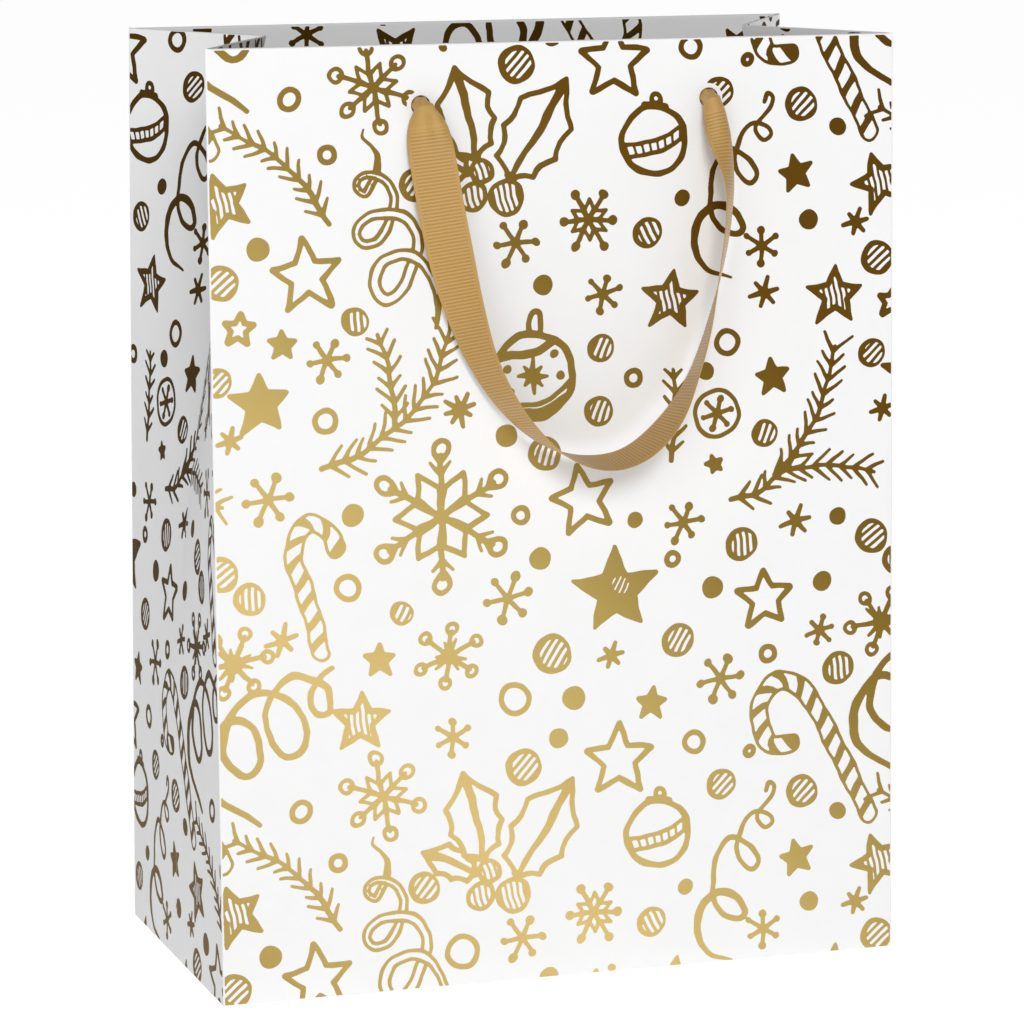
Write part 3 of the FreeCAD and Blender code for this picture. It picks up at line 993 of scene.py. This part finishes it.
def foil_flat(low, high, print_x, print_y=same, holes=(), grid=None):
    """The drawings inside a rectangle of the sheet, as flat triangles."""
    u, v = (low[k] + (np.arange(int((high[k] - low[k]) / CELL) + 4) - 1.5) * CELL for k in (0, 1))
    uu, vv = np.meshgrid(u, v)
    field = sample(print_x(uu), print_y(vv))
    clip = np.maximum(np.maximum(low[0] - uu, uu - high[0]), np.maximum(low[1] - vv, vv - high[1]))
    for x, y in holes:
        clip = np.maximum(clip, HALO - np.hypot(uu - x, vv - y))
    field = np.maximum(field, clip)
    field[np.abs(field) < 1e-4] = 1e-4
    loops = [thin_out(loop * CELL + (u[0], v[0]), TRACE) for loop in contours(field)]
    loops = [loop for loop in loops if len(loop) > 2 and abs(loop_area(loop)) > 0.25]
    outer = sorted((loop for loop in loops if loop_area(loop) > 0), key=loop_area)
    groups = [[loop] for loop in outer]
    for loop in loops:
        if loop_area(loop) < 0:
            for group in groups:
                if even_odd(loop[:1], group[:1])[0]:
                    group.append(loop)
                    break
    flats, faces, count = [], [], 0
    for group in groups:
        extra = []
        if grid:
            (x0, y0), (x1, y1) = group[0].min(0), group[0].max(0)
            extra = [(a, b) for a in np.arange(math.ceil(x0 / grid) * grid, x1, grid)
                     for b in np.arange(math.ceil(y0 / grid) * grid, y1, grid)]
        flat, tris = triangulate(group, extra)
        flats.append(flat)
        faces.append(tris + count)
        count += len(flat)
    return np.concatenate(flats), np.concatenate(faces)


def foil_piece(name, parts):
    """One foil piece from (flat triangles, placing, material) parts."""
    verts, faces, indices, count = [], [], [], 0
    materials = list(dict.fromkeys(material for _, _, material in parts))
    for (flat, tris), place, material in parts:
        points, skin, back, sides = layers(flat, tris, place, -PROUD, SUNK)
        verts.append(points)
        part = skin + back + sides
        faces += [tuple(i + count for i in f) for f in part]
        indices += [materials.index(material)] * len(part)
        count += len(points)
    piece = new_mesh(name, np.concatenate(verts), faces, materials, indices)
    return piece


# ---------------------------------------------------------------- walls and gussets

def wall_foil(side, name, print_x, look):
    """The print on a wall, which runs on over the fold and down the hem."""
    edge, reach = HALF_WIDTH - CORNER, HEM_REACH - 0.1
    holes, inner = ([(x, v) for x in HOLE_X.values()] for v in HOLE_V)
    front = foil_flat((-edge, 0.4), (edge, HEIGHT - WALL_FOLD), print_x, same, holes)
    hem = foil_flat((-reach, HEIGHT + 1.6), (reach, HEIGHT + HEM + 0.4), print_x, same, inner)
    place = wall_points(side)
    # the hem's foil takes the painted-shade hem gold
    return foil_piece(name, [(front, place, look), (hem, place, hem_foil_painted_shade)])


for side, name, print_x, look in (
        (-1, "front", lambda s: s, front_foil_painted_reflection), (1, "back", lambda s: -100 - s, back_foil_painted_reflection)):
    shell = wall_shell(side, name + "_wall_sheet", PAPERS)
    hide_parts(name + "_wall", name + "_hem")
    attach(shell, name + "_wall")
    foil = wall_foil(side, name + "_wall_foil", print_x, look)
    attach(foil, name + "_wall")

GUSSET_GRID = 9.0             # the foil has points this far apart, so that it bends with the gusset
# where on the print each gusset half lies, from its corner crease
GUSSET_PRINT = {
    (-1, -1): lambda t: 155 - t, (-1, 1): lambda t: 25 + t,
    (1, -1): lambda t: 125 + t, (1, 1): lambda t: 255 - t,
}
# A line from wall to base, running inwards square to the leaning wall, in metres; the gusset pieces are only
# baked in place, not blended along it
BLEND_START, BLEND_LENGTH = 0.0007, 0.0536
for (hand, side), print_x in GUSSET_PRINT.items():
    name = ("left" if hand < 0 else "right") + "_gusset"
    end_name = "front" if side < 0 else "back"
    half = gusset_shell(hand, side, name + "_sheet_" + end_name, PAPERS)
    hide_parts(name + "_" + end_name, name + "_hem_" + end_name)
    place = gusset_points(hand, side)
    middle = HALF_BASE - 0.2
    outer = foil_flat((0.2, 0.4), (middle, HEIGHT - GUSSET_FOLD), print_x, grid=GUSSET_GRID)
    hem = foil_flat((0.8, HEIGHT + 0.9), (middle, HEIGHT + HEM - 0.3), print_x, grid=GUSSET_GRID)
    # the gusset foil takes the painted-shade side gold, its hem the painted-shade hem gold
    foil = foil_piece(name + "_foil_" + end_name, [
        (outer, place, side_foil_painted_shade), (hem, place, hem_foil_painted_shade)])
    inwards = Vector((0, -side * COS, -SIN))
    start = Vector((0, side * HALF_BASE * MM, 0)) + inwards * BLEND_START
    end = start + inwards * BLEND_LENGTH
    for piece in (half, foil):
        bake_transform(piece)
        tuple(end)


def under_points(height):
    """The underside of a bottom flap: x across, y from front to back."""
    def place(x, y, inward):
        return np.stack(np.broadcast_arrays(x, y, height + np.asarray(inward, float)), -1)
    return place


flap_edge = HALF_WIDTH - PAPER - 0.5
under_front = foil_flat((-flap_edge, -64), (flap_edge, 19.7), lambda s: s, lambda y: -65 - y)
under_back = foil_flat((-flap_edge, 20.3), (flap_edge, 64), lambda s: s, lambda y: y - 65)
# the underside foil takes the gusset's painted-shade gold
underside = foil_piece("bottom_foil", [
    (under_front, under_points(0.03), side_foil_painted_shade),
    (under_back, under_points(PAPER), side_foil_painted_shade)])
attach(underside, "base")

for look, names in (
        (coated, ("bottom_front_flap", "bottom_back_flap", "bottom_left_flap", "bottom_right_flap")),
        (uncoated, ("side_seam_flap",)),
        (board_look, ("front_hem_board", "back_hem_board", "base_board"))):
    for name in names:
        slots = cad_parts[name].data.materials
        slots.clear()
        slots.append(look)


# ---------------------------------------------------------------- ribbon handles and knots

RIBBON_WIDTH = 16.0
RIBBON_THICK = 0.42
RIB_PITCH = 1.2
RIB_HEIGHT = 0.07
TILT = math.radians(4.5)      # the handle hangs this far away from the wall
STAND_OFF = 4.0               # from the wall to the line the handle swings on
END_BALL = 2.4                # how far the rounded gathers reach past the holes
# x, distance below the swing line, and how far the ribbon is lifted off its plane
ROUTE = [
    (-49.5, 0, 0), (-47, 20, 0), (-43.5, 43, 0), (-39, 66, 0), (-31.5, 90, 0), (-18.5, 110.5, 0),
    (-1, 124, 0), (19.5, 125.5, 0), (36.5, 112.5, 0), (47.5, 92, 0), (54.5, 68.5, 0.5), (59, 44.5, 3.0),
    (61, 21, 3.0), (55.5, 0, 0),
]
# Turn of the ribbon about its own line, in degrees, by share of its length
TWIST = [
    (0, 12), (0.16, 22), (0.23, 45), (0.30, 64), (0.41, 82), (0.44, 90), (0.50, 104), (0.58, 103),
    (0.61, 98), (0.66, 83), (0.72, 77), (0.76, 71), (0.79, 66), (0.88, 61), (0.92, 54), (0.95, 38), (1.0, 20),
]
# How tightly the ribbon is rolled into a gather, as the turn of its section, by distance from a hole
LEFT_ROLL = [(0, 4.6), (3, 3.3), (6, 2.3), (10, 1.4), (15, 0.6), (22, 0.2), (30, 0)]
RIGHT_ROLL = [(0, 4.9), (4, 4.2), (9, 3.5), (13, 2.9), (18, 1.8), (25, 0.8), (34, 0.2), (45, 0)]
LEFT_PLEAT = [(0, 0.4), (3, 1.7), (8, 1.6), (17, 0)]
# Rows of points across the ribbon, from edge to edge, the ribs ending at the selvedges
ACROSS = np.array([
    -1, -0.96, -0.855, -0.84, -0.7, -0.52, -0.34, -0.17, 0,
    0.17, 0.34, 0.52, 0.7, 0.84, 0.855, 0.96, 1])
SELVEDGE = 0.85


def handle_spline(side, name):
    """The handle's middle line as a smooth spline, and the points along it."""
    data = bpy.data.curves.new(name, "CURVE")
    data.dimensions = "3D"
    spline = data.splines.new("NURBS")
    spline.points.add(len(ROUTE) - 1)
    for point, (x, below, lift) in zip(spline.points, ROUTE):
        depth = -STAND_OFF - below * math.sin(TILT) - lift
        place = stand(side, x, depth, HOLE_UP - below * math.cos(TILT)) * MM
        point.co = (*place, 1.0)
    spline.order_u = 3
    spline.use_endpoint_u = True
    spline.resolution_u = 32
    holder = bpy.data.objects.new(name, data)
    bpy.context.scene.collection.objects.link(holder)
    bpy.context.view_layer.update()
    mesh = bpy.data.meshes.new_from_object(holder)
    points = np.array([v.co for v in mesh.vertices]) / MM
    bpy.data.objects.remove(holder)
    bpy.data.meshes.remove(mesh)
    return points


def ease(values, width):
    """A running mean, so that a table of angles turns smoothly."""
    kernel = np.ones(width) / width
    padded = np.concatenate([np.full(width // 2, values[0]), values, np.full(width // 2, values[-1])])
    return np.convolve(padded, kernel, "valid")[:len(values)]


def unit(rows):
    return rows / np.linalg.norm(rows, axis=1)[:, None]


def tinted_mesh(name, verts, faces, tint, sharp):
    """A piece of ribbon with its rib pattern, whose values paint shade into the grooves between the ribs."""
    piece = new_mesh(name, verts, faces, [ribbon_look], None, sharp)
    attribute = piece.data.attributes.new("rib", "FLOAT", "POINT")
    attribute.data.foreach_set("value", tint.astype(np.float32))
    return piece


def band(name, centre, facing, width, roll, ribs, cap, pleat):
    """A ribbon along centre, its face turned to facing, rolled by roll radians across its width.

    cap rounds off the first and the last rows; ribs is 0 to 1 along the ribbon; pleat is the depth
    of a valley along it.
    """
    gone = travelled(centre)
    tangent = unit(np.gradient(centre, gone, axis=0))
    facing = unit(facing - np.einsum("ij,ij->i", facing, tangent)[:, None] * tangent)
    across = np.cross(tangent, facing)
    width, roll, ribs, cap, pleat, gone = (
        row[:, None] for row in (width, np.maximum(roll, 1e-3), ribs, cap, pleat, gone))
    radius = width / roll
    angle = roll * ACROSS / 2
    shift = radius * (1 - np.sin(roll / 2) / (roll / 2))
    valley = pleat * np.exp(-((ACROSS + 0.25) / 0.24) ** 2)
    sideways = radius * np.sin(angle)
    outward = radius * (np.cos(angle) - 1) + shift - valley
    ribbed = np.abs(ACROSS)[None, :] < SELVEDGE
    wave = 0.5 + 0.5 * np.cos(2 * math.pi * (gone + 0.25 * ACROSS) / RIB_PITCH)
    edge_round = np.sqrt(np.clip(1 - np.abs(ACROSS) ** 40, 0, 1)) * 0.5 + 0.5
    lift = (RIBBON_THICK / 2 + RIB_HEIGHT * ribbed * ribs * (wave - 0.5)) * edge_round
    verts = []
    for sign in (1, -1):
        a = ((sideways + sign * lift * np.sin(angle)) * cap)[..., None]
        b = ((outward + sign * lift * np.cos(angle)) * cap)[..., None]
        verts.append(centre[:, None, :] + across[:, None, :] * a + facing[:, None, :] * b)
    # painted shade: the colour darkens in the grooves between the ribs and stays even where the ribs fade and
    # on the selvedges
    tint = np.where(ribbed & (ribs > 0.05), 0.15 + 0.75 * wave * ribs + 0.6 * (1 - ribs), 0.62)
    rows, cols = sideways.shape
    size = rows * cols
    faces = []
    for r in range(rows - 1):
        for i in range(r * cols, r * cols + cols - 1):
            quad = (i, i + 1, i + cols + 1, i + cols)
            faces += [quad, (i + size, i + cols + size, i + cols + 1 + size, i + 1 + size)]
        i, j = r * cols, r * cols + cols - 1
        faces += [(i, i + cols, i + cols + size, i + size), (j + size, j + cols + size, j + cols, j)]
    for i in range(cols - 1):
        faces.append((i, i + size, i + 1 + size, i + 1))
    for i in range(size - cols, size - 1):
        faces.append((i + 1, i + 1 + size, i + size, i))
    verts = np.array(verts).reshape(-1, 3)
    return tinted_mesh(name, verts, faces, np.tile(tint.ravel(), 2), 60)


def resample(points, step):
    """The same line with even steps, and the length gone at each point."""
    gone = travelled(points)
    at = np.linspace(0, gone[-1], int(gone[-1] / step) + 1)
    return np.stack([np.interp(at, gone, points[:, k]) for k in range(3)], 1), at


def smoothstep(value, low, high):
    t = np.clip((value - low) / (high - low), 0, 1)
    return t * t * (3 - 2 * t)


def handle(side, name):
    """A hanging grosgrain loop: gathered at both holes and twisted edge-on round its bottom."""
    path = handle_spline(side, name + "_line")
    centre, gone = resample(path, 0.24)
    length = gone[-1]
    angle = np.radians(ease(np.interp(gone / length, *zip(*TWIST)), 61))
    outwards = stand(side, 0, -1, 0) - stand(side, 0, 0, 0)
    tangent = unit(np.gradient(centre, axis=0))
    beside = unit(np.cross(tangent, outwards) * -side)
    facing = outwards * np.cos(angle)[:, None] + beside * np.sin(angle)[:, None]
    left, right = gone, length - gone
    roll = ease(np.interp(left, *zip(*LEFT_ROLL)) + np.interp(right, *zip(*RIGHT_ROLL)), 21)
    ribs = smoothstep(left, 6, 11) * smoothstep(right, 3.5, 6)
    gathered = 0.86 + 0.14 * smoothstep(left, 0, 4) - 0.14 * (1 - smoothstep(right, 0, 6))
    pleat = np.interp(left, *zip(*LEFT_PLEAT))
    steps = np.linspace(1, 0.08, 7)
    head = centre[0] - tangent[0] * END_BALL * steps[:, None]
    tail = centre[-1] + tangent[-1] * END_BALL * steps[::-1, None]
    cap = (1 - 0.93 * steps) ** 0.8

    def stretch(rows):
        """Repeats the first and the last row for the rounded ends."""
        return np.concatenate([rows[:1].repeat(len(steps), 0), rows, rows[-1:].repeat(len(steps), 0)])

    caps = np.concatenate([cap, np.ones(len(gone)), cap[::-1]])
    piece = band(
        name, np.concatenate([head, centre, tail]), stretch(facing), RIBBON_WIDTH * stretch(gathered),
        stretch(roll), stretch(ribs), caps, stretch(pleat))
    return piece


def turned_faces(rings, first, poles):
    """Faces round a stack of rings, closed by the two points after them or by flat ends."""
    rows, cols = rings.shape[:2]
    grid = first + np.arange(rows * cols).reshape(rows, cols)
    after = np.roll(grid, -1, 1)
    faces = np.stack([grid[:-1], grid[1:], after[1:], after[:-1]], -1).reshape(-1, 4).tolist()
    if not poles:
        return faces + [grid[0].tolist(), grid[-1, ::-1].tolist()]
    pole = first + rows * cols
    for a, b, c, d in zip(*(row.tolist() for row in (grid[0], after[0], grid[-1], after[-1]))):
        faces += [(pole, a, b), (c, pole + 1, d)]
    return faces


# The gathered ribbon through a hole: depth from the wall's outer face, and radius
STUB = [(-4.9, 0.3), (-4.8, 0.8), (-4.4, 1.3), (-3.8, 1.7), (-3.0, 2.0), (-2.0, 2.4), (-1.0, 2.8),
        (0.0, 3.1), (1.0, 3.2), (1.8, 3.2), (2.6, 3.3), (2 * WALL_FOLD + 2.5, 3.4)]


def lump(name, side, x):
    """A tied knot behind the hem, the gathered ribbon through the hole and the free end."""
    back = 2 * WALL_FOLD
    t = np.linspace(0, math.pi, 41)[1:-1, None]
    a = np.linspace(0, 2 * math.pi, 36, endpoint=False)
    wrap = 0.10 * np.cos(2 * (a - 0.9 * t) + 0.6) + 0.05 * np.cos(5 * a + 3 * t)
    groove = 1 - 0.16 * np.exp(-((((a - 0.8 * t) % (2 * math.pi)) - math.pi) / 0.25) ** 2)
    swell = (1 + wrap) * groove * 0.88 * np.sin(t) ** 0.75
    body = np.stack([6.9 * swell * np.cos(a), back + 4.5 - 4.4 * np.cos(t) + 0 * a,
                     HOLE_UP + 5.4 * swell * np.sin(a)], -1)
    a = np.linspace(0, 2 * math.pi, 32, endpoint=False)
    depth, radius = np.array(STUB).T[..., None]
    radius = radius * (1 + 0.07 * np.cos(6 * a + depth * 0.4) * np.minimum(1.0, radius / 2))
    stub = np.stack([radius * np.cos(a), depth + 0 * a, HOLE_UP + radius * np.sin(a)], -1)
    poles = [(0, back + 0.1, HOLE_UP), (0, back + 8.9, HOLE_UP)]
    p = np.concatenate([body.reshape(-1, 3), poles, stub.reshape(-1, 3)])
    faces = turned_faces(body, 0, True) + turned_faces(stub, body.size // 3 + 2, False)
    if side > 0:
        faces = [f[::-1] for f in faces]
    verts = stand(side, x + p[:, 0], p[:, 1], p[:, 2])
    knot = tinted_mesh(name, verts, faces, np.full(len(p), 0.6), 70)
    down = np.linspace(0, 17, 72)
    line = stand(
        side, x + 0.5 * np.sin(down / 6), back + 4.6 + 1.3 * np.sin(down / 7), HOLE_UP - 2.5 - down)
    inwards = stand(side, 0, 1, 0) - stand(side, 0, 0, 0)
    facing = inwards + 0.25 * np.sin(down / 9)[:, None] * np.array([1.0, 0, 0])
    width = 6.5 + 6.5 * smoothstep(down, 0, 9)
    end = band(name + "_tail", line, facing, width, 1.6 - 1.2 * smoothstep(down, 0, 10),
               smoothstep(down, 3, 6), np.ones(len(down)), np.zeros(len(down)))
    return knot, end


for side, name in ((-1, "front"), (1, "back")):
    ribbon = handle(side, name + "_ribbon")
    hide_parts(name + "_ribbon_handle")
    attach(ribbon, name + "_handle")
    for hand, x in HOLE_X.items():
        knot, end = lump(name + "_" + hand + "_tied_knot", side, x)
        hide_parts(name + "_" + hand + "_knot")
        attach(knot, name + "_wall")
        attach(end, name + "_wall")


# ---------------------------------------------------------------- camera, light and floor

def aim(thing, place, target):
    thing.location = place
    thing.rotation_euler = (Vector(target) - Vector(place)).to_track_quat("-Z", "Y").to_euler()


scene = bpy.context.scene
azimuth, elevation, distance = math.radians(-18.30), math.radians(9.97), 1.653
target = Vector((0.00155, 0, 0.15596))
level = math.cos(elevation)
towards_camera = Vector((math.sin(azimuth) * level, -math.cos(azimuth) * level, math.sin(elevation)))
camera = bpy.data.objects.new("camera", bpy.data.cameras.new("camera"))
camera.data.sensor_width = 36.0
camera.data.lens = 160.6
camera.data.clip_end = 100
scene.collection.objects.link(camera)
aim(camera, target + towards_camera * distance, target)
scene.camera = camera
scene.view_settings.view_transform = "Standard"

world = bpy.data.worlds.new("studio")
world.use_nodes = True
backdrop = world.node_tree.nodes["Background"].inputs
backdrop["Color"].default_value = (1, 1, 1, 1)
backdrop["Strength"].default_value = 0.1
scene.world = world


BAG_MIDDLE = (0, 0, 0.16)


def softbox(name, place, size, power):
    lamp = bpy.data.lights.new(name, "AREA")
    lamp.shape = "SQUARE"
    lamp.size = size
    lamp.energy = power
    thing = bpy.data.objects.new(name, lamp)
    scene.collection.objects.link(thing)
    aim(thing, place, BAG_MIDDLE)


softbox("key", (-1.85, -2.2, 1.55), 1.2, 11)
softbox("fill", (-0.47, -2.97, 1.76), 1.14, 56)

bpy.ops.mesh.primitive_plane_add(size=40, location=(0, 0, -0.0001))
floor = bpy.context.object
floor.name = "floor"
floor_look, _, _ = new_material(
    "floor_white", Base_Color=(0.3, 0.3, 0.3, 1), Roughness=0.9,
    Emission_Color=(1, 1, 1, 1), Emission_Strength=0.94)
floor.data.materials.append(floor_look)
